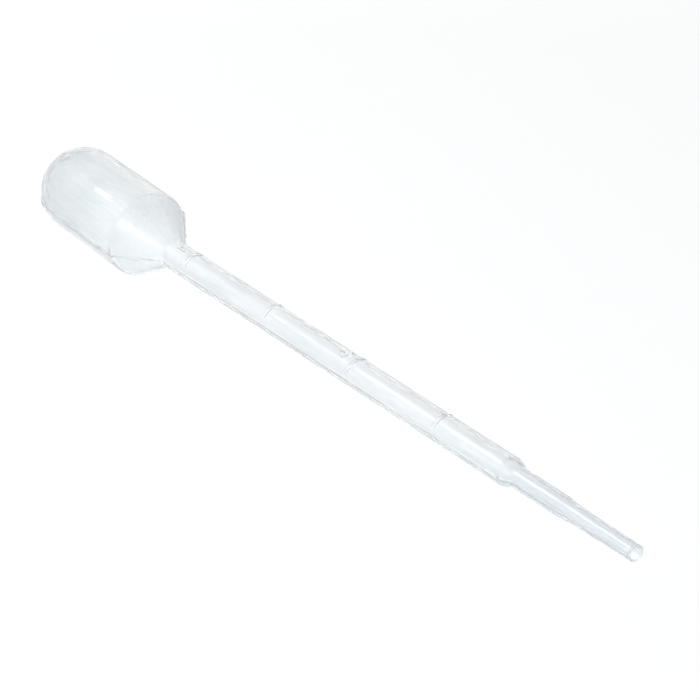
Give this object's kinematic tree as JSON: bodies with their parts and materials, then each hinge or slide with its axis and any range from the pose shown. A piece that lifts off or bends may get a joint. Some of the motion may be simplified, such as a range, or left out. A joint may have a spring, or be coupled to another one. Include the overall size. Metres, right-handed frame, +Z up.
{
  "type": "plastic dropper pipette",
  "caption": "One-piece translucent plastic dropper pipette with a domed squeeze bulb, a conical shoulder, a graduated stem and a stepped open tip, lying on its side.",
  "frame": {"origin": "on the table, under the middle of the lying pipette's bounding box", "axes": "+X along the pipette towards the open tip, +Z up from the table, +Y completing a right-handed set; the pipette's own axis dips towards the tip, because it rests on the bulb's rim and on the tip"},
  "size_m": [0.1514, 0.0142, 0.0156],
  "materials": {
    "translucent_plastic": "natural low-density polyethylene, clear to milky, satin"
  },
  "bodies": {
    "root": {"pipette": "translucent_plastic"}
  },
  "joints": []
}
